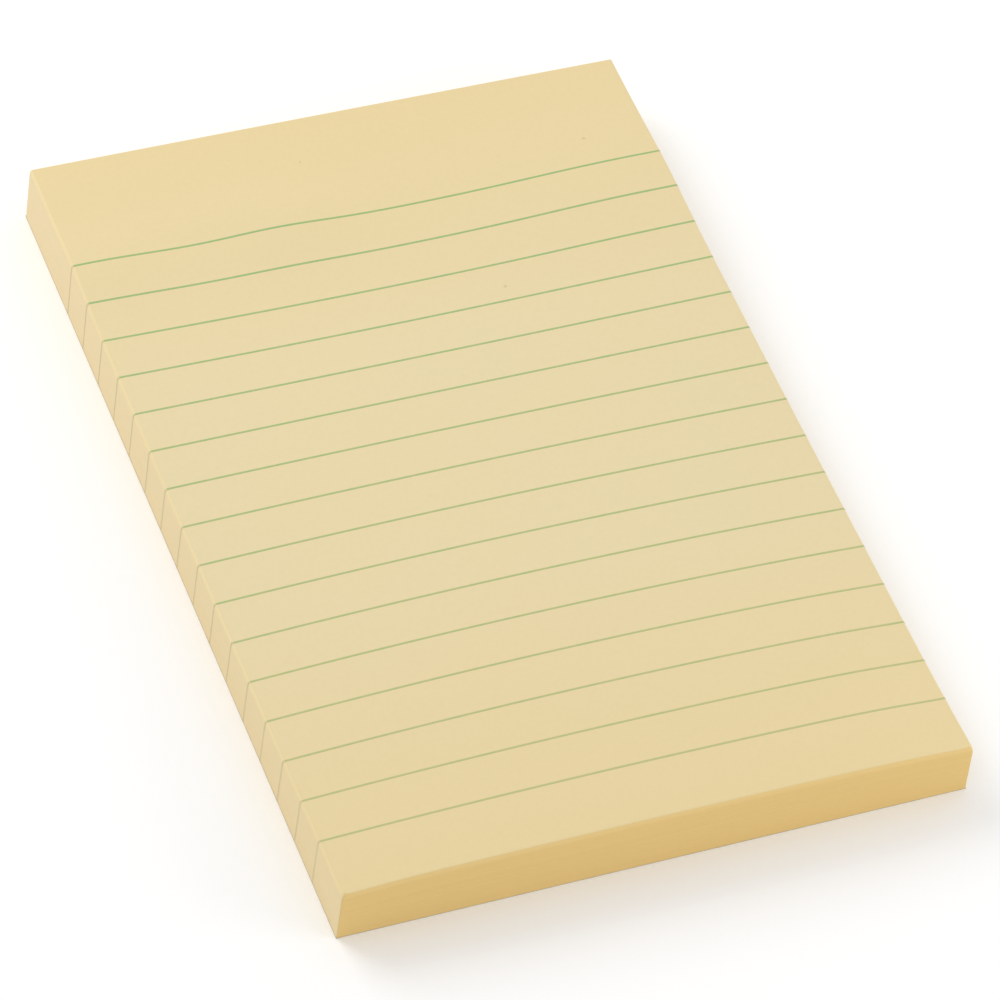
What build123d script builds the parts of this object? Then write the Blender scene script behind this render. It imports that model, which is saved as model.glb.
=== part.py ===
from build123d import *
import os
from math import atan, cos, pi, sin

os.makedirs("parts", exist_ok=True)

# A lined sticky note pad: a cut block of ruled notes, glued along its head, on a plain backing sheet.
# X runs across the page, Y up the page to its glued head, Z up. The origin is the middle of the underside.
# All lengths are in millimetres, and angles are in radians.

# The paper
page_width = 101.6
page_length = 152.4
sheet_count = 100
sheet_thickness = 0.102
backing_thickness = 0.2

# The cut faces lean in a little towards the top, and the blade has rounded their upper edge
cut_lean = 0.2
shoulder_radius = 0.3

# The glue makes the stack thicker at its head. Below the head the loose sheets sink, and further down their
# middle swells up between the long edges. Each rise is taken from the top of an even stack
head_edge_rise = 0.65
sink_edge_rise = -0.35
swell_edge_rise = -1.05
foot_edge_rise = -0.2
head_middle_rise = 0.75
sink_middle_rise = -0.75
swell_middle_rise = 0.55
foot_middle_rise = 0.25
sink_place_share = 0.2
swell_place_share = -0.3

# The ruling runs off both long edges of every note, so it shows as faint marks down the cut faces too
line_pitch = 7.9375
line_width = 0.35
first_line_drop = 22.6
foot_margin = 10.0
edge_mark_width = 0.35
edge_mark_depth = 0.1

# How far a cutting shape runs past what it cuts, and how many sections shape the top sheet
overrun = 2.0
section_count = 7

stack_thickness = sheet_count * sheet_thickness
stack_top = backing_thickness + stack_thickness
blank_height = stack_top + 2 * head_middle_rise
lean_angle = atan(cut_lean / stack_thickness)
line_count = int((page_length - first_line_drop - foot_margin) / line_pitch) + 1
line_places = [page_length / 2 - first_line_drop - line_pitch * n for n in range(line_count)]
rise_places = [
    page_length / 2,
    page_length * sink_place_share,
    page_length * swell_place_share,
    -page_length / 2,
]
edge_rises = [head_edge_rise, sink_edge_rise, swell_edge_rise, foot_edge_rise]
middle_rises = [head_middle_rise, sink_middle_rise, swell_middle_rise, foot_middle_rise]


def top_height(y, rises):
    """Height of the top sheet at a place up the page, on the cubic through its four rises."""
    total = stack_top
    for place, rise in zip(rise_places, rises):
        for other in rise_places:
            if other != place:
                rise *= (y - other) / (place - other)
        total += rise
    return total


# Everything under the top sheet's face, wider and longer than the pad: each section's top is a parabola
swell_reach = page_width / 2 + overrun
swell_length = page_length + 2 * overrun
with BuildPart() as swell:
    for n in range(section_count):
        y = swell_length * (n / (section_count - 1) - 1 / 2)
        middle_height = top_height(y, middle_rises)
        edge_fall = middle_height - top_height(y, edge_rises)
        reach_height = middle_height - edge_fall * (swell_reach / (page_width / 2)) ** 2
        with BuildSketch(Plane.XZ.offset(-y)):
            with BuildLine():
                top = Bezier(
                    (-swell_reach, reach_height),
                    (0, 2 * middle_height - reach_height),
                    (swell_reach, reach_height),
                )
                Polyline(top @ 1, (swell_reach, -overrun), (-swell_reach, -overrun), top @ 0)
            make_face()
    loft()

# The block of notes before the print is let in: a leaning blank under that face, with round shoulders
with BuildPart() as block:
    with BuildSketch(Plane.XY.offset(backing_thickness)):
        Rectangle(page_width, page_length)
    extrude(amount=blank_height - backing_thickness, taper=lean_angle * 180 / pi)
    add(swell.part, mode=Mode.INTERSECT)
    fillet(block.faces().sort_by(Axis.Z)[-1].edges(), radius=shoulder_radius)

# Where the ruling is printed on the top note: upright slices across the page, one sheet deep
with BuildPart() as line_slices:
    with Locations([(0, y, 0) for y in line_places]):
        Box(
            page_width + 2 * overrun,
            line_width,
            blank_height + overrun,
            align=(Align.CENTER, Align.CENTER, Align.MIN),
        )
    add(swell.part.moved(Location((0, 0, -sheet_thickness))), mode=Mode.SUBTRACT)

# The ruling on the top note, flush with the paper
with BuildPart() as ruled_lines:
    add(block.part)
    add(line_slices.part, mode=Mode.INTERSECT)

# The ruling's cut ends, sheet upon sheet, down the two long cut faces from just below their shoulders
with BuildPart() as edge_marks:
    for side in (-1, 1):
        cut_face = Plane(
            origin=(side * page_width / 2, 0, backing_thickness),
            x_dir=(0, side, 0),
            z_dir=(side * cos(lean_angle), 0, sin(lean_angle)),
        )
        with BuildSketch(cut_face):
            for y in line_places:
                face_height = top_height(y, edge_rises) - backing_thickness
                mark_height = face_height - shoulder_radius - edge_mark_depth
                with Locations((side * y, 0)):
                    Rectangle(edge_mark_width, mark_height, align=(Align.CENTER, Align.MIN))
        extrude(amount=-edge_mark_depth)
    split(bisect_by=Plane.XY.offset(backing_thickness))

# The notes, with room for the print
with BuildPart() as note_sheets:
    add(block.part)
    add([line_slices.part, edge_marks.part], mode=Mode.SUBTRACT)

# The plain sheet that the last note is stuck to
with BuildPart() as backing_sheet:
    with BuildSketch():
        Rectangle(page_width, page_length)
    extrude(amount=backing_thickness)

note_sheets.part.label = "note_sheets"
export_step(note_sheets.part, "parts/note_sheets.step")
ruled_lines.part.label = "ruled_lines"
export_step(ruled_lines.part, "parts/ruled_lines.step")
edge_marks.part.label = "edge_marks"
export_step(edge_marks.part, "parts/edge_marks.step")
backing_sheet.part.label = "backing_sheet"
export_step(backing_sheet.part, "parts/backing_sheet.step")
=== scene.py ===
import math

import bpy
import numpy as np
from mathutils import Matrix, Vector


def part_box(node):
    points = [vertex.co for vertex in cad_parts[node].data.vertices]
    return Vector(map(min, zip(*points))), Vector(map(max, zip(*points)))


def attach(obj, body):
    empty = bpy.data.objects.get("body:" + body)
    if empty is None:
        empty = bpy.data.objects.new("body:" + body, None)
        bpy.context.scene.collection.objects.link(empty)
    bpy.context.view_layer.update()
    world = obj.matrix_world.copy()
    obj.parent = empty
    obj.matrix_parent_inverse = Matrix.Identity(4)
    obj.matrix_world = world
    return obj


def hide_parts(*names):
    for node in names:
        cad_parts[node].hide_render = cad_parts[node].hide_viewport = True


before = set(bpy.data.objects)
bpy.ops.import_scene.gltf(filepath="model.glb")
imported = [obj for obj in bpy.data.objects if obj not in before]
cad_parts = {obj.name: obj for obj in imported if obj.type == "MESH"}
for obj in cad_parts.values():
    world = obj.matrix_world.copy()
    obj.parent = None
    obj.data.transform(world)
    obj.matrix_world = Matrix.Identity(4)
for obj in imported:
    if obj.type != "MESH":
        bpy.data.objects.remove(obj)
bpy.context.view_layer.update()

# A lined sticky note pad. The solids' frame: x across the page, y up to its glued head, z up, in metres.
MM = 0.001
low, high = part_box("backing_sheet")
page_width = high.x - low.x
page_length = high.y - low.y
backing_top = high.z

# The stack of notes, a little lower than the solid, so that the ruling printed on it stays inside the box.
# Each sheet lies slightly out of line, and so does each bundle that the sheets were counted in
sheets = 100
solid_sheet_thickness = 0.102 * MM
ink_proud = 0.012 * MM
stack = sheets * solid_sheet_thickness - 2 * ink_proud
sheet_thickness = stack / sheets
sheet_shift = 0.004 * MM
bundle_shift = 0.006 * MM
bundle_sheets = 10
shift_seed = 7
bundle_seed = 21

# The guillotine's cut: its lean and the rolled shoulder below the top sheet. The upright corners are crisp,
# but at the loose foot the upper sheets' corners are blunted by handling, above a share of the height
cut_lean = 0.2 * MM
shoulder_inset = 0.3 * MM
shoulder_depth = 0.8 * MM
corner_radius = 0.2 * MM
foot_blunting = 0.9 * MM
blunt_share = 0.87

# The cut is painted deeper in tone at the ends than on the long sides, a painted shade, and the head has a
# share of the foot's depth
head_shade_share = 0.4

# The block's points across and along the page, and how many steps between them go round a corner
columns_across = 65
columns_along = 97
corner_columns = 3

# The top sheet: thicker at the glued head, sunk below it, and swelling in the middle further down.
# Cubics up the page go through four rises over an even stack, from head to foot
rise_places = np.array([0.5, 0.2, -0.3, -0.5]) * page_length
edge_rises = np.array([0.65, -0.35, -1.05, -0.2]) * MM
middle_rises = np.array([0.75, -0.75, 0.55, 0.25]) * MM
powers = ("Cubic", "Square", "Slope", "Level")
edge_line = np.polyfit(rise_places, edge_rises, len(powers) - 1)
middle_line = np.polyfit(rise_places, middle_rises, len(powers) - 1)

# The upper notes ripple where the glue ends, and droop at the loose corners of the foot: each ripple's place
# on the page, its reach both ways and its lift
ripple_parts = ("X", "Y", "Reach X", "Reach Y", "Lift")
ripples = (
    (40.0 * MM, 50.0 * MM, 18.0 * MM, 12.0 * MM, 0.76 * MM),
    (-45.0 * MM, 53.0 * MM, 12.0 * MM, 7.5 * MM, 0.61 * MM),
    (-16.0 * MM, 54.5 * MM, 11.0 * MM, 8.5 * MM, 0.82 * MM),
    (-8.0 * MM, 36.0 * MM, 42.0 * MM, 13.0 * MM, -0.41 * MM),
    (52.0 * MM, -66.0 * MM, 10.0 * MM, 25.0 * MM, -0.6 * MM),
    (-51.0 * MM, -78.0 * MM, 9.0 * MM, 8.0 * MM, -0.45 * MM),
)

# The ruling: ribbons on the top note below its blank header, and where each line is cut, a dab of ink on the
# edge of every sheet, which wanders a little from sheet to sheet
lines = 16
line_pitch = 7.9375 * MM
line_width = 0.35 * MM
header_height = 22.6 * MM
first_line = page_length / 2 - header_height
last_line = first_line - (lines - 1) * line_pitch
ink_sunk = 0.05 * MM
dab_width = 0.4 * MM
dab_depth = 0.06 * MM
dab_wander = 0.04 * MM
dab_seed = 5

# Three flecks in the top note's paper: their places on the page, their reach and how dark they are
flecks = (
    (39.3 * MM, 59.6 * MM, 0.4 * MM, 0.25),
    (15.6 * MM, 32.8 * MM, 0.4 * MM, 0.25),
    (-7.6 * MM, 66.7 * MM, 0.35 * MM, 0.15),
)

# Where most of a noise texture's values lie
noise_band = (0.3, 0.7)


def linear(hex_colour):
    """An sRGB hex colour as linear RGBA."""
    parts = [int(hex_colour[i : i + 2], 16) / 255 for i in (0, 2, 4)]
    return (*[p / 12.92 if p <= 0.04045 else ((p + 0.055) / 1.055) ** 2.4 for p in parts], 1)


# Where a node has several inputs of one name, they go by number: a colour mix's share is input 0, and its two
# colours are 6 and 7. A random value's limits are inputs 0 and 1 for a vector, and 2 and 3 for one number
def add_node(tree, kind, inputs=(), **settings):
    """Adds a node. Each input is a value, a socket, or a node, whose first output in use is linked."""
    node = tree.nodes.new(kind)
    for name, value in settings.items():
        setattr(node, name, value)
    for key, value in inputs.items() if isinstance(inputs, dict) else enumerate(inputs):
        if isinstance(value, bpy.types.Node):
            value = next(socket for socket in value.outputs if socket.enabled)
        if isinstance(value, bpy.types.NodeSocket):
            tree.links.new(value, node.inputs[key])
        elif value is not None:
            node.inputs[key].default_value = value
    return node


def new_tree(name, sizes, materials):
    """An empty geometry tree with a named input for each size and material, and its input sockets."""
    tree = bpy.data.node_groups.new(name, "GeometryNodeTree")
    for label, value in sizes.items():
        kind = "NodeSocketInt" if isinstance(value, int) else "NodeSocketFloat"
        tree.interface.new_socket(label, in_out="INPUT", socket_type=kind)
    for label in materials:
        tree.interface.new_socket(label, in_out="INPUT", socket_type="NodeSocketMaterial")
    tree.interface.new_socket("Geometry", in_out="OUTPUT", socket_type="NodeSocketGeometry")
    return tree, add_node(tree, "NodeGroupInput").outputs


def made_by(tree, name, values):
    """Runs a geometry tree with its named inputs set, and keeps what it makes as a plain mesh."""
    piece = bpy.data.objects.new(name, bpy.data.meshes.new(name + "_start"))
    bpy.context.scene.collection.objects.link(piece)
    modifier = piece.modifiers.new(name, "NODES")
    modifier.node_group = tree
    for item in tree.interface.items_tree:
        if item.in_out == "INPUT":
            modifier[item.identifier] = values[item.name]
    made = piece.evaluated_get(bpy.context.evaluated_depsgraph_get())
    mesh = bpy.data.meshes.new_from_object(made)
    piece.modifiers.clear()
    piece.data = mesh
    mesh.name = name
    return piece


def new_material(name):
    """A new material, its tree, its shader, and the piece's own coordinates to draw patterns on."""
    material = bpy.data.materials.new(name)
    material.use_nodes = True
    tree = material.node_tree
    spot = add_node(tree, "ShaderNodeTexCoord").outputs["Object"]
    return material, tree, tree.nodes["Principled BSDF"], spot


def finish_surface(tree, shader, tone, roughness, gloss):
    """Gives a shader the colour that the last mix node makes, and an even roughness and gloss."""
    colour = next(socket for socket in tone.outputs if socket.enabled)
    tree.links.new(colour, shader.inputs["Base Color"])
    shader.inputs["Roughness"].default_value = roughness
    shader.inputs["Specular IOR Level"].default_value = gloss


def page_rise(tree, size, x, y):
    """How far the top sheet stands over an even stack: cubics up the page, a parabola across it, ripples."""
    heights = []
    for part in ("Middle", "Edge"):
        height = size[f"{part} {powers[0]}"]
        for power in powers[1:]:
            term = size[f"{part} {power}"]
            height = add_node(tree, "ShaderNodeMath", [height, y, term], operation="MULTIPLY_ADD")
        heights.append(height)

    # Four times the square of the share across is 1 at the long edges
    fall = add_node(tree, "ShaderNodeMath", heights[::-1], operation="SUBTRACT")
    share = add_node(tree, "ShaderNodeMath", [x, size["Page Width"]], operation="DIVIDE")
    squared = add_node(tree, "ShaderNodeMath", [share, share], operation="MULTIPLY")
    across = add_node(tree, "ShaderNodeMath", [squared, 4.0], operation="MULTIPLY")
    rise = add_node(tree, "ShaderNodeMath", [fall, across, heights[0]], operation="MULTIPLY_ADD")
    for n in range(1, len(ripples) + 1):
        middle_x, middle_y, reach_x, reach_y, lift = [size[f"Ripple {n} {part}"] for part in ripple_parts]
        shares = []
        for place, middle, reach in ((x, middle_x, reach_x), (y, middle_y, reach_y)):
            away = add_node(tree, "ShaderNodeMath", [place, middle], operation="SUBTRACT")
            shares.append(add_node(tree, "ShaderNodeMath", [away, reach], operation="DIVIDE"))
        off = add_node(tree, "ShaderNodeCombineXYZ", shares)
        square = add_node(tree, "ShaderNodeVectorMath", [off, off], operation="DOT_PRODUCT").outputs["Value"]
        fade = add_node(tree, "ShaderNodeMath", [square, -1.0], operation="MULTIPLY")
        fade = add_node(tree, "ShaderNodeMath", [fade], operation="EXPONENT")
        rise = add_node(tree, "ShaderNodeMath", [fade, lift, rise], operation="MULTIPLY_ADD")
    return rise


def cut_inset(tree, size, up):
    """How far a cut face stands in at a height over the backing: an even lean, then the rolled shoulder."""
    share = add_node(tree, "ShaderNodeMath", [up, size["Stack"]], operation="DIVIDE")
    lean = add_node(tree, "ShaderNodeMath", [share, size["Lean"]], operation="MULTIPLY")
    start = add_node(tree, "ShaderNodeMath", [size["Stack"], size["Shoulder Depth"]], operation="SUBTRACT")
    near = add_node(tree, "ShaderNodeMapRange", [up, start, size["Stack"], 0.0, 1.0])
    squared = add_node(tree, "ShaderNodeMath", [near, near], operation="MULTIPLY")
    rest = add_node(tree, "ShaderNodeMath", [1.0, squared], operation="SUBTRACT", use_clamp=True)
    arc = add_node(tree, "ShaderNodeMath", [rest], operation="SQRT")
    roll = add_node(tree, "ShaderNodeMath", [1.0, arc], operation="SUBTRACT")
    inset = add_node(tree, "ShaderNodeMath", [roll, size["Shoulder Inset"], lean], operation="MULTIPLY_ADD")

    # Room in the box for the sheets that lie out of line and for the ink on them
    for slack in ("Sheet Shift", "Bundle Shift", "Ink Proud"):
        inset = add_node(tree, "ShaderNodeMath", [inset, size[slack]], operation="ADD")
    return inset


def out_of_line(tree, size, sheet):
    """How far a sheet lies out of line, by itself and with the bundle that it was counted in."""
    bundle = add_node(tree, "ShaderNodeMath", [sheet, size["Bundle Sheets"]], operation="DIVIDE")
    bundle = add_node(tree, "ShaderNodeMath", [bundle], operation="FLOOR")
    shifts = []
    for number, reach, seed in (
        (sheet, "Sheet Shift", "Shift Seed"),
        (bundle, "Bundle Shift", "Bundle Seed"),
    ):
        draw = add_node(
            tree,
            "FunctionNodeRandomValue",
            {0: (-1.0, -1.0, 0.0), 1: (1.0, 1.0, 0.0), "ID": number, "Seed": size[seed]},
            data_type="FLOAT_VECTOR",
        )
        shifts.append(
            add_node(tree, "ShaderNodeVectorMath", {0: draw, "Scale": size[reach]}, operation="SCALE")
        )
    shift = add_node(tree, "ShaderNodeVectorMath", shifts, operation="ADD")
    return add_node(tree, "ShaderNodeSeparateXYZ", [shift]).outputs


# The trees' inputs: what all three follow, what two of them share, and then the whole list of each tree
page_sizes = {
    "Page Width": page_width,
    "Backing Top": backing_top,
    "Stack": stack,
    "Sheet Shift": sheet_shift,
    "Bundle Shift": bundle_shift,
    "Lean": cut_lean,
    "Shoulder Inset": shoulder_inset,
    "Shoulder Depth": shoulder_depth,
    "Ink Proud": ink_proud,
    **{f"Edge {power}": float(value) for power, value in zip(powers, edge_line)},
    **{f"Middle {power}": float(value) for power, value in zip(powers, middle_line)},
    **{
        f"Ripple {n} {part}": value
        for n, ripple in enumerate(ripples, 1)
        for part, value in zip(ripple_parts, ripple)
    },
}
sheet_sizes = {
    "Sheet Thickness": sheet_thickness,
    "Bundle Sheets": bundle_sheets,
    "Shift Seed": shift_seed,
    "Bundle Seed": bundle_seed,
}
line_sizes = {
    "Lines": lines,
    "Line Pitch": line_pitch,
    "First Line": first_line,
}
block_sizes = {
    **page_sizes,
    **sheet_sizes,
    "Page Length": page_length,
    "Corner Radius": corner_radius,
    "Foot Blunting": foot_blunting,
    "Blunt Share": blunt_share,
    "Head Shade Share": head_shade_share,
    "Columns Across": columns_across,
    "Columns Along": columns_along,
    "Rows": 2 * sheets,
    "Core Share Across": 1 - corner_columns / (columns_across // 2),
    "Core Share Along": 1 - corner_columns / (columns_along // 2),
}
ribbon_sizes = {
    **page_sizes,
    **line_sizes,
    "Columns Across": columns_across,
    "Line Width": line_width,
    "Ink Sunk": ink_sunk,
}
dab_sizes = {
    **page_sizes,
    **sheet_sizes,
    **line_sizes,
    "Sheets": sheets,
    "Dab Width": dab_width,
    "Dab Depth": dab_depth,
    "Dab Wander": dab_wander,
    "Dab Seed": dab_seed,
}


def stacked_notes_tree():
    """The whole stack as one closed block, with the edge of every sheet as two rows on its cut faces."""
    tree, size = new_tree("stacked notes", block_sizes, ("Paper", "Cut Edge"))
    cube = add_node(
        tree,
        "GeometryNodeMeshCube",
        {
            "Size": (2.0, 2.0, 1.0),
            "Vertices X": size["Columns Across"],
            "Vertices Y": size["Columns Along"],
            "Vertices Z": size["Rows"],
        },
    )
    place = add_node(tree, "ShaderNodeSeparateXYZ", [add_node(tree, "GeometryNodeInputPosition")]).outputs

    # Each row is the lower or the upper arris of a sheet
    last_row = add_node(tree, "ShaderNodeMath", [size["Rows"], 1.0], operation="SUBTRACT")
    from_base = add_node(tree, "ShaderNodeMath", [place[2], 0.5], operation="ADD")
    row = add_node(tree, "ShaderNodeMath", [from_base, last_row], operation="MULTIPLY")
    row = add_node(tree, "ShaderNodeMath", [row], operation="ROUND")
    sheet = add_node(tree, "ShaderNodeMath", [row, 0.5], operation="MULTIPLY")
    sheet = add_node(tree, "ShaderNodeMath", [sheet], operation="FLOOR")
    arris = add_node(tree, "ShaderNodeMath", [sheet, -2.0, row], operation="MULTIPLY_ADD")
    level = add_node(tree, "ShaderNodeMath", [sheet, arris], operation="ADD")
    up = add_node(tree, "ShaderNodeMath", [level, size["Sheet Thickness"]], operation="MULTIPLY")
    up_share = add_node(tree, "ShaderNodeMath", [up, size["Stack"]], operation="DIVIDE")
    inset = cut_inset(tree, size, up)
    shift = out_of_line(tree, size, sheet)

    # The outline of a sheet: straight sides, and corners that are round in plan, more so high up at the foot
    foot = add_node(tree, "ShaderNodeMath", [place[1], 0.0], operation="LESS_THAN")
    near = add_node(tree, "ShaderNodeMapRange", [up_share, size["Blunt Share"], 1.0, 0.0, 1.0])
    near = add_node(tree, "ShaderNodeMath", [near, near], operation="MULTIPLY")
    blunt = add_node(tree, "ShaderNodeMath", [near, size["Foot Blunting"]], operation="MULTIPLY")
    radius = add_node(tree, "ShaderNodeMath", [foot, blunt, size["Corner Radius"]], operation="MULTIPLY_ADD")
    cores, turns, signs = [], [], []
    for axis, length, share in (
        (0, "Page Width", "Core Share Across"),
        (1, "Page Length", "Core Share Along"),
    ):
        half = add_node(tree, "ShaderNodeMath", [size[length], 0.5], operation="MULTIPLY")
        half = add_node(tree, "ShaderNodeMath", [half, inset], operation="SUBTRACT")
        core = add_node(tree, "ShaderNodeMath", [half, radius], operation="SUBTRACT")
        reach = add_node(tree, "ShaderNodeMath", [place[axis]], operation="ABSOLUTE")
        cores.append(add_node(tree, "ShaderNodeMapRange", [reach, 0.0, size[share], 0.0, core]))
        turns.append(add_node(tree, "ShaderNodeMapRange", [reach, size[share], 1.0, 0.0, 1.0]))
        signs.append(add_node(tree, "ShaderNodeMath", [place[axis]], operation="SIGN"))

    # A corner's square of points becomes a quarter of a disc
    plan = []
    for axis in (0, 1):
        other = add_node(tree, "ShaderNodeMath", [turns[1 - axis], turns[1 - axis]], operation="MULTIPLY")
        rest = add_node(tree, "ShaderNodeMath", [other, -0.5, 1.0], operation="MULTIPLY_ADD")
        rest = add_node(tree, "ShaderNodeMath", [rest], operation="SQRT")
        turn = add_node(tree, "ShaderNodeMath", [turns[axis], rest], operation="MULTIPLY")
        reach = add_node(tree, "ShaderNodeMath", [turn, radius, cores[axis]], operation="MULTIPLY_ADD")
        plan.append(
            add_node(tree, "ShaderNodeMath", [reach, signs[axis], shift[axis]], operation="MULTIPLY_ADD")
        )

    # The lowest sheet lies flat, and the upper ones follow the top sheet more and more
    rise = page_rise(tree, size, *plan)
    lift = add_node(tree, "ShaderNodeMath", [rise, up_share, up], operation="MULTIPLY_ADD")
    height = add_node(tree, "ShaderNodeMath", [lift, size["Backing Top"]], operation="ADD")
    spot = add_node(tree, "ShaderNodeCombineXYZ", [*plan, height])

    # What is known on the plain cube and needed at the end: which faces were cut, and how much painted shade
    # each end takes
    facing = add_node(tree, "ShaderNodeSeparateXYZ", [add_node(tree, "GeometryNodeInputNormal")]).outputs
    upright = add_node(tree, "ShaderNodeMath", [facing[2]], operation="ABSOLUTE")
    cut = add_node(tree, "ShaderNodeMath", [upright, 0.5], operation="LESS_THAN")
    kept = add_node(tree, "GeometryNodeCaptureAttribute", domain="FACE")
    kept.capture_items.new("BOOLEAN", "Cut")
    tree.links.new(cube.outputs["Mesh"], kept.inputs["Geometry"])
    tree.links.new(cut.outputs[0], kept.inputs["Cut"])
    head_shade = add_node(tree, "ShaderNodeMath", [facing[1], size["Head Shade Share"]], operation="MULTIPLY")
    foot_shade = add_node(tree, "ShaderNodeMath", [facing[1], -1.0], operation="MULTIPLY")
    end_shade_amount = add_node(tree, "ShaderNodeMath", [head_shade, foot_shade], operation="MAXIMUM")
    stored = kept.outputs["Geometry"]
    for name, value, domain in (("up_share", up_share, "POINT"), ("end_shade", end_shade_amount, "FACE")):
        stored = add_node(
            tree,
            "GeometryNodeStoreNamedAttribute",
            {"Geometry": stored, "Name": name, "Value": value},
            data_type="FLOAT",
            domain=domain,
        )
    shaped = add_node(tree, "GeometryNodeSetPosition", {"Geometry": stored, "Position": spot})
    whole = add_node(tree, "GeometryNodeRealizeInstances", {"Geometry": shaped})
    level_face = add_node(tree, "FunctionNodeBooleanMath", [kept.outputs["Cut"]], operation="NOT")
    smooth = add_node(tree, "GeometryNodeSetShadeSmooth", {"Geometry": whole, "Shade Smooth": level_face})
    paper = add_node(tree, "GeometryNodeSetMaterial", {"Geometry": smooth, "Material": size["Paper"]})
    edge = add_node(
        tree,
        "GeometryNodeSetMaterial",
        {"Geometry": paper, "Selection": kept.outputs["Cut"], "Material": size["Cut Edge"]},
    )
    add_node(tree, "NodeGroupOutput", [edge])
    return tree


def ruling_tree():
    """The lines across the top note: flat ribbons that follow its face from shoulder to shoulder."""
    tree, size = new_tree("ruling", ribbon_sizes, ("Ink",))
    thin = add_node(tree, "ShaderNodeCombineXYZ", [2.0, size["Line Width"], 2.0])
    strip = add_node(
        tree,
        "GeometryNodeMeshCube",
        {"Size": thin, "Vertices X": size["Columns Across"], "Vertices Y": 2, "Vertices Z": 2},
    )
    start = add_node(tree, "ShaderNodeCombineXYZ", [0.0, size["First Line"], 0.0])
    back = add_node(tree, "ShaderNodeMath", [size["Line Pitch"], -1.0], operation="MULTIPLY")
    step = add_node(tree, "ShaderNodeCombineXYZ", [0.0, back, 0.0])
    rows = add_node(
        tree, "GeometryNodeMeshLine", {"Count": size["Lines"], "Start Location": start, "Offset": step}
    )
    placed = add_node(
        tree, "GeometryNodeInstanceOnPoints", {"Points": rows, "Instance": strip.outputs["Mesh"]}
    )
    whole = add_node(tree, "GeometryNodeRealizeInstances", {"Geometry": placed})
    place = add_node(tree, "ShaderNodeSeparateXYZ", [add_node(tree, "GeometryNodeInputPosition")]).outputs
    half = add_node(tree, "ShaderNodeMath", [size["Page Width"], 0.5], operation="MULTIPLY")
    inset = cut_inset(tree, size, size["Stack"])
    reach = add_node(tree, "ShaderNodeMath", [half, inset], operation="SUBTRACT")
    x = add_node(tree, "ShaderNodeMath", [place[0], reach], operation="MULTIPLY")
    rise = page_rise(tree, size, x, place[1])
    sunk = add_node(tree, "ShaderNodeMath", [size["Ink Sunk"], -1.0], operation="MULTIPLY")
    off_paper = add_node(tree, "ShaderNodeMapRange", [place[2], -1.0, 1.0, sunk, size["Ink Proud"]])
    top = add_node(tree, "ShaderNodeMath", [size["Stack"], size["Backing Top"]], operation="ADD")
    height = add_node(tree, "ShaderNodeMath", [top, rise], operation="ADD")
    height = add_node(tree, "ShaderNodeMath", [height, off_paper], operation="ADD")
    spot = add_node(tree, "ShaderNodeCombineXYZ", [x, place[1], height])
    shaped = add_node(tree, "GeometryNodeSetPosition", {"Geometry": whole, "Position": spot})
    inked = add_node(tree, "GeometryNodeSetMaterial", {"Geometry": shaped, "Material": size["Ink"]})
    add_node(tree, "NodeGroupOutput", [inked])
    return tree


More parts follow.
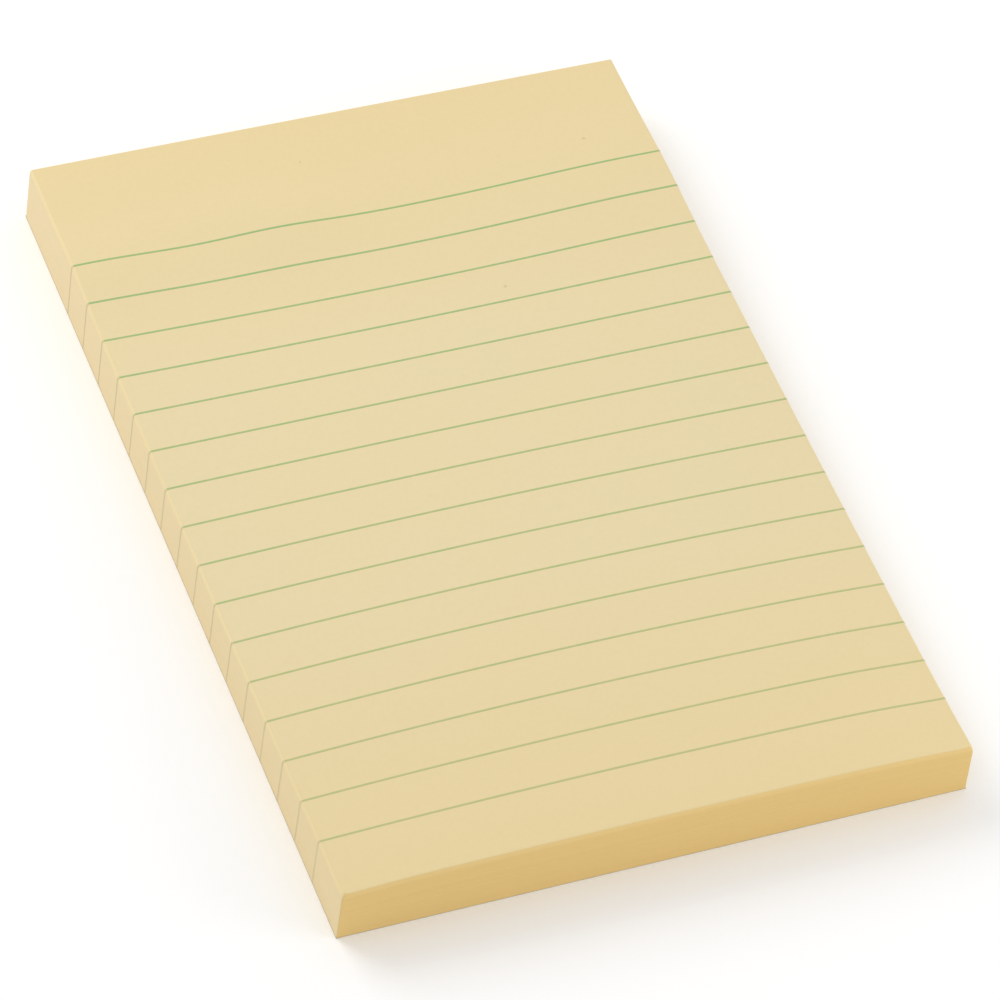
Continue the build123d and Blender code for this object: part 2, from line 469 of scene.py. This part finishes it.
def cut_ends_tree():
    """The ruling's cut ends: a dab of ink on the edge of every sheet, in columns down both long faces."""
    tree, size = new_tree("cut ends", dab_sizes, ("Ink",))
    both = add_node(tree, "ShaderNodeMath", [size["Lines"], 2.0], operation="MULTIPLY")
    count = add_node(tree, "ShaderNodeMath", [both, size["Sheets"]], operation="MULTIPLY")
    points = add_node(tree, "GeometryNodePoints", {"Count": count})
    index = add_node(tree, "GeometryNodeInputIndex")
    column = add_node(tree, "ShaderNodeMath", [index, both], operation="MODULO")
    sheet = add_node(tree, "ShaderNodeMath", [index, both], operation="DIVIDE")
    sheet = add_node(tree, "ShaderNodeMath", [sheet], operation="FLOOR")
    line = add_node(tree, "ShaderNodeMath", [column, 0.5], operation="MULTIPLY")
    line = add_node(tree, "ShaderNodeMath", [line], operation="FLOOR")
    side = add_node(tree, "ShaderNodeMath", [column, 2.0], operation="MODULO")
    side = add_node(tree, "ShaderNodeMath", [side, 2.0, -1.0], operation="MULTIPLY_ADD")

    level = add_node(tree, "ShaderNodeMath", [sheet, 0.5], operation="ADD")
    up = add_node(tree, "ShaderNodeMath", [level, size["Sheet Thickness"]], operation="MULTIPLY")
    shift = out_of_line(tree, size, sheet)
    half = add_node(tree, "ShaderNodeMath", [size["Page Width"], 0.5], operation="MULTIPLY")
    reach = add_node(tree, "ShaderNodeMath", [half, cut_inset(tree, size, up)], operation="SUBTRACT")
    bury = add_node(tree, "ShaderNodeMath", [size["Dab Depth"], 0.5], operation="MULTIPLY")
    reach = add_node(tree, "ShaderNodeMath", [reach, bury], operation="SUBTRACT")
    reach = add_node(tree, "ShaderNodeMath", [reach, size["Ink Proud"]], operation="ADD")
    x = add_node(tree, "ShaderNodeMath", [reach, side, shift[0]], operation="MULTIPLY_ADD")
    wander = add_node(
        tree,
        "FunctionNodeRandomValue",
        {2: -1.0, 3: 1.0, "ID": index, "Seed": size["Dab Seed"]},
        data_type="FLOAT",
    )
    back = add_node(tree, "ShaderNodeMath", [line, size["Line Pitch"]], operation="MULTIPLY")
    y = add_node(tree, "ShaderNodeMath", [size["First Line"], back], operation="SUBTRACT")
    y = add_node(tree, "ShaderNodeMath", [wander, size["Dab Wander"], y], operation="MULTIPLY_ADD")
    share = add_node(tree, "ShaderNodeMath", [up, size["Stack"]], operation="DIVIDE")
    rise = page_rise(tree, size, x, y)
    lift = add_node(tree, "ShaderNodeMath", [rise, share, up], operation="MULTIPLY_ADD")
    height = add_node(tree, "ShaderNodeMath", [lift, size["Backing Top"]], operation="ADD")
    spot = add_node(tree, "ShaderNodeCombineXYZ", [x, y, height])
    laid = add_node(tree, "GeometryNodeSetPosition", {"Geometry": points, "Position": spot})
    dab_size = [size[name] for name in ("Dab Depth", "Dab Width", "Sheet Thickness")]
    dab = add_node(tree, "GeometryNodeMeshCube", {"Size": add_node(tree, "ShaderNodeCombineXYZ", dab_size)})
    placed = add_node(tree, "GeometryNodeInstanceOnPoints", {"Points": laid, "Instance": dab.outputs["Mesh"]})
    whole = add_node(tree, "GeometryNodeRealizeInstances", {"Geometry": placed})
    inked = add_node(tree, "GeometryNodeSetMaterial", {"Geometry": whole, "Material": size["Ink"]})
    add_node(tree, "NodeGroupOutput", [inked])
    return tree


def note_paper():
    """Uncoated note paper, dyed in the pulp and calendered: matt, faintly cloudy, with a fine fibre grain."""
    material, tree, shader, spot = new_material("uncoated_note_paper_calendered")

    # Single fibres are too fine to show, so the grain is as coarse as their clumps
    cloud_size = 22 * MM
    clump_size = 0.9 * MM
    clump_share = 0.08
    clump_height = 0.02 * MM
    clump_strength = 0.12
    cloud = add_node(tree, "ShaderNodeTexNoise", {"Vector": spot, "Scale": 1 / cloud_size, "Detail": 2.0})
    grain = add_node(tree, "ShaderNodeTexNoise", {"Vector": spot, "Scale": 1 / clump_size, "Detail": 4.0})
    tone = add_node(
        tree,
        "ShaderNodeMix",
        {0: cloud.outputs["Fac"], 6: linear("e3d1a4"), 7: linear("e0d1a8")},
        data_type="RGBA",
    )

    # The sheet is painted a warmer, deeper tone towards its head and its foot; towards the foot this is
    # painted shade, where less light falls
    warm_and_shade_from = 25 * MM
    warm_and_shade_share = 0.9
    along = add_node(tree, "ShaderNodeSeparateXYZ", [spot]).outputs[1]
    along = add_node(tree, "ShaderNodeMath", [along], operation="ABSOLUTE")
    end_tone_and_shade = add_node(tree, "ShaderNodeMapRange", [along, warm_and_shade_from, page_length / 2, 0.0, warm_and_shade_share])
    tone = add_node(tree, "ShaderNodeMix", {0: end_tone_and_shade, 6: tone, 7: linear("e3ce9c")}, data_type="RGBA")
    fibre = add_node(tree, "ShaderNodeMapRange", [grain.outputs["Fac"], *noise_band, 0.0, clump_share])
    tone = add_node(tree, "ShaderNodeMix", {0: fibre, 6: tone, 7: linear("cdb987")}, data_type="RGBA")

    # Each fleck is darkest in the inner third of its reach
    flat = add_node(tree, "ShaderNodeVectorMath", {0: spot, 1: (1.0, 1.0, 0.0)}, operation="MULTIPLY")
    for x, y, reach, dark in flecks:
        middle = (x, y, 0.0)
        away = add_node(tree, "ShaderNodeVectorMath", [flat, middle], operation="DISTANCE").outputs["Value"]
        fleck = add_node(tree, "ShaderNodeMapRange", [away, reach / 3, reach, dark, 0.0])
        tone = add_node(tree, "ShaderNodeMix", {0: fleck, 6: tone, 7: linear("8f7a4c")}, data_type="RGBA")
    bump = add_node(
        tree,
        "ShaderNodeBump",
        {"Height": grain.outputs["Fac"], "Strength": clump_strength, "Distance": clump_height},
    )
    tree.links.new(bump.outputs["Normal"], shader.inputs["Normal"])
    finish_surface(tree, shader, tone, roughness=0.88, gloss=0.25)
    return material


def cut_paper():
    """The guillotined edge of the same paper: fibre ends sheet on sheet, deeper level streaks, painted shade
    and highlight.
    """
    material, tree, shader, spot = new_material("uncoated_note_paper_guillotined")
    up = add_node(tree, "ShaderNodeAttribute", attribute_name="up_share").outputs["Fac"]
    end_tone_and_shade = add_node(tree, "ShaderNodeAttribute", attribute_name="end_shade").outputs["Fac"]
    place = add_node(tree, "ShaderNodeSeparateXYZ", [spot]).outputs
    # The long sides are painted a little lighter towards the head, painted light where the lamp is nearer
    head = add_node(tree, "ShaderNodeMapRange", [place[1], -page_length / 2, page_length / 2, 0.0, 1.0])
    side_colours_painted_light = {0: head, 6: linear("e5d2a7"), 7: linear("e7d4ac")}
    sides = add_node(tree, "ShaderNodeMix", side_colours_painted_light, data_type="RGBA")
    # The ends are painted a deeper tone: painted shade
    tone = add_node(tree, "ShaderNodeMix", {0: end_tone_and_shade, 6: sides, 7: linear("dfc07f")}, data_type="RGBA")

    # The rolled shoulder is painted paler from a share of the height up, a painted highlight where it catches
    # the light
    highlight_from = 0.88
    highlight_most = 0.8
    highlight_range = [up, highlight_from, 1.0, 0.0, highlight_most]
    shoulder_highlight = add_node(tree, "ShaderNodeMapRange", highlight_range, interpolation_type="SMOOTHSTEP")
    highlight_colours = {0: end_tone_and_shade, 6: linear("e8d5a4"), 7: linear("e5c88a")}
    highlight_tone = add_node(tree, "ShaderNodeMix", highlight_colours, data_type="RGBA")
    tone = add_node(tree, "ShaderNodeMix", {0: shoulder_highlight, 6: tone, 7: highlight_tone}, data_type="RGBA")

    # Streaks that follow the sheets, fine ones and broad ones: how many sheets thick they are, how long, how
    # strong at most, and their colour
    streak_band = (0.35, 0.7)
    for thick, length, most, colour in (
        (3, 30 * MM, 0.025, "b99a5c"),
        (bundle_sheets, 45 * MM, 0.04, "c9ab6a"),
    ):
        across = []
        for axis in (0, 1):
            across.append(add_node(tree, "ShaderNodeMath", [place[axis], 1 / length], operation="MULTIPLY"))
        level = add_node(tree, "ShaderNodeMath", [up, sheets / thick], operation="MULTIPLY")
        along = add_node(tree, "ShaderNodeCombineXYZ", [*across, level])
        streak = add_node(tree, "ShaderNodeTexNoise", {"Vector": along, "Scale": 1.0, "Detail": 1.0})
        dark = add_node(tree, "ShaderNodeMapRange", [streak.outputs["Fac"], *streak_band, 0.0, most])
        tone = add_node(tree, "ShaderNodeMix", {0: dark, 6: tone, 7: linear(colour)}, data_type="RGBA")
    finish_surface(tree, shader, tone, roughness=0.95, gloss=0.15)
    return material


def line_ink(name, head, foot, grain_size):
    """Offset ink soaked into the paper: as matt as the sheet, a little uneven, and paler to the foot."""
    material, tree, shader, spot = new_material(name)
    most = 0.2
    noise = add_node(tree, "ShaderNodeTexNoise", {"Vector": spot, "Scale": 1 / grain_size, "Detail": 2.0})
    uneven = add_node(tree, "ShaderNodeMapRange", [noise.outputs["Fac"], *noise_band, -most, most])
    along = add_node(tree, "ShaderNodeSeparateXYZ", [spot]).outputs[1]
    down = add_node(tree, "ShaderNodeMapRange", [along, first_line, last_line, 0.0, 1.0])
    lay = add_node(tree, "ShaderNodeMath", [down, uneven], operation="ADD", use_clamp=True)
    tone = add_node(tree, "ShaderNodeMix", {0: lay, 6: linear(head), 7: linear(foot)}, data_type="RGBA")
    finish_surface(tree, shader, tone, roughness=0.85, gloss=0.25)
    return material


def backing_paper():
    """A plain heavier sheet with a felted mottle, painted a duller grey-brown than the notes: painted shade
    along the foot.
    """
    material, tree, shader, spot = new_material("backing_paper_machine_felted")
    felt_size = 1.6 * MM
    felt_height = 0.03 * MM
    felt_strength = 0.1
    felt = add_node(tree, "ShaderNodeTexNoise", {"Vector": spot, "Scale": 1 / felt_size, "Detail": 5.0})
    lay = add_node(tree, "ShaderNodeMapRange", [felt.outputs["Fac"], *noise_band, 0.0, 1.0])
    # The grey-brown tone is painted shade along the pad's bottom edge, over a real felted mottle
    felt_and_shade_colours = {0: lay, 6: linear("bfae8b"), 7: linear("ccbb97")}
    tone = add_node(tree, "ShaderNodeMix", felt_and_shade_colours, data_type="RGBA")
    bump = add_node(
        tree,
        "ShaderNodeBump",
        {"Height": felt.outputs["Fac"], "Strength": felt_strength, "Distance": felt_height},
    )
    tree.links.new(bump.outputs["Normal"], shader.inputs["Normal"])
    finish_surface(tree, shader, tone, roughness=0.9, gloss=0.2)
    return material


# The pieces
notes = made_by(
    stacked_notes_tree(),
    "stacked_notes",
    {**block_sizes, "Paper": note_paper(), "Cut Edge": cut_paper()},
)
page_ink = line_ink("green_offset_ink_on_paper", head="98b678", foot="babb83", grain_size=2 * MM)
ruling = made_by(ruling_tree(), "note_ruling", {**ribbon_sizes, "Ink": page_ink})
edge_ink = line_ink("green_offset_ink_cut_through", head="cabf97", foot="d1c49c", grain_size=0.6 * MM)
cut_ends = made_by(cut_ends_tree(), "ruling_cut_ends", {**dab_sizes, "Ink": edge_ink})
for piece, node, slot in (
    (notes, "note_sheets", "note_paper"),
    (ruling, "ruled_lines", "ruling_ink"),
    (cut_ends, "edge_marks", "edge_print"),
):
    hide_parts(node)
    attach(piece, "root")
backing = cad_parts["backing_sheet"]
backing.data.materials.clear()
backing.data.materials.append(backing_paper())

# The stage: a pale floor that keeps the shadow, an even surround and two soft lights
floor_tone = (0.97, 0.97, 0.97, 1)
floor_reach = 4.0
floor_material = bpy.data.materials.new("pale_floor")
floor_material.use_nodes = True
floor_shader = floor_material.node_tree.nodes["Principled BSDF"]
floor_shader.inputs["Base Color"].default_value = floor_tone
floor_shader.inputs["Roughness"].default_value = 1.0
floor_shader.inputs["Specular IOR Level"].default_value = 0.0
floor_mesh = bpy.data.meshes.new("floor")
floor_corners = [(x * floor_reach, y * floor_reach, 0) for x, y in ((-1, -1), (1, -1), (1, 1), (-1, 1))]
floor_mesh.from_pydata(floor_corners, [], [(0, 1, 2, 3)])
floor_mesh.materials.append(floor_material)
floor = bpy.data.objects.new("floor", floor_mesh)
bpy.context.scene.collection.objects.link(floor)

# The surround's strength on the pad. The camera, and reflections with it, see plain white
surround = 0.8
world = bpy.data.worlds.new("even_surround")
bpy.context.scene.world = world
world.use_nodes = True
sky = world.node_tree
rays = add_node(sky, "ShaderNodeLightPath").outputs
seen = add_node(sky, "ShaderNodeMath", [rays["Is Camera Ray"], rays["Is Glossy Ray"]], operation="ADD")
seen = add_node(sky, "ShaderNodeMath", [seen, rays["Is Transmission Ray"]], operation="ADD", use_clamp=True)
level = add_node(sky, "ShaderNodeMapRange", [seen, 0.0, 1.0, surround, 1.0])
sky.nodes["Background"].inputs["Color"].default_value = (1, 1, 1, 1)
sky.links.new(level.outputs[0], sky.nodes["Background"].inputs["Strength"])

# Each soft light, a broad one from behind on the left and a low one from the front right: its azimuth and
# elevation in degrees, its distance, size and power
for name, azimuth, elevation, distance, spread, power in (
    ("soft_window", -150, 40, 0.75, 0.45, 2.16),
    ("low_fill", 50, 15, 0.45, 0.25, 0.42),
):
    light_data = bpy.data.lights.new(name, "AREA")
    light_data.shape = "SQUARE"
    light_data.size = spread
    light_data.energy = power
    light = bpy.data.objects.new(name, light_data)
    bpy.context.scene.collection.objects.link(light)
    turn = Matrix.Rotation(math.radians(azimuth), 4, "Z")
    tilt = Matrix.Rotation(math.radians(90 - elevation), 4, "X")
    light.matrix_world = turn @ tilt @ Matrix.Translation((0, 0, distance))

# The camera, fitted to the pad's corners, edges and ruling
camera_azimuth = math.radians(-26.844)
camera_elevation = math.radians(48.139)
camera_roll = math.radians(8.496)
camera_place = (-263.01 * MM, -527.06 * MM, 656.39 * MM)
camera_data = bpy.data.cameras.new("camera")
camera_data.sensor_width = 36.0
camera_data.lens = 202.04
camera_data.clip_start = 0.01
camera = bpy.data.objects.new("camera", camera_data)
bpy.context.scene.collection.objects.link(camera)
camera.matrix_world = (
    Matrix.Translation(camera_place)
    @ Matrix.Rotation(camera_azimuth, 4, "Z")
    @ Matrix.Rotation(math.pi / 2 - camera_elevation, 4, "X")
    @ Matrix.Rotation(camera_roll, 4, "Z")
)
bpy.context.scene.camera = camera
bpy.context.scene.view_settings.view_transform = "Standard"
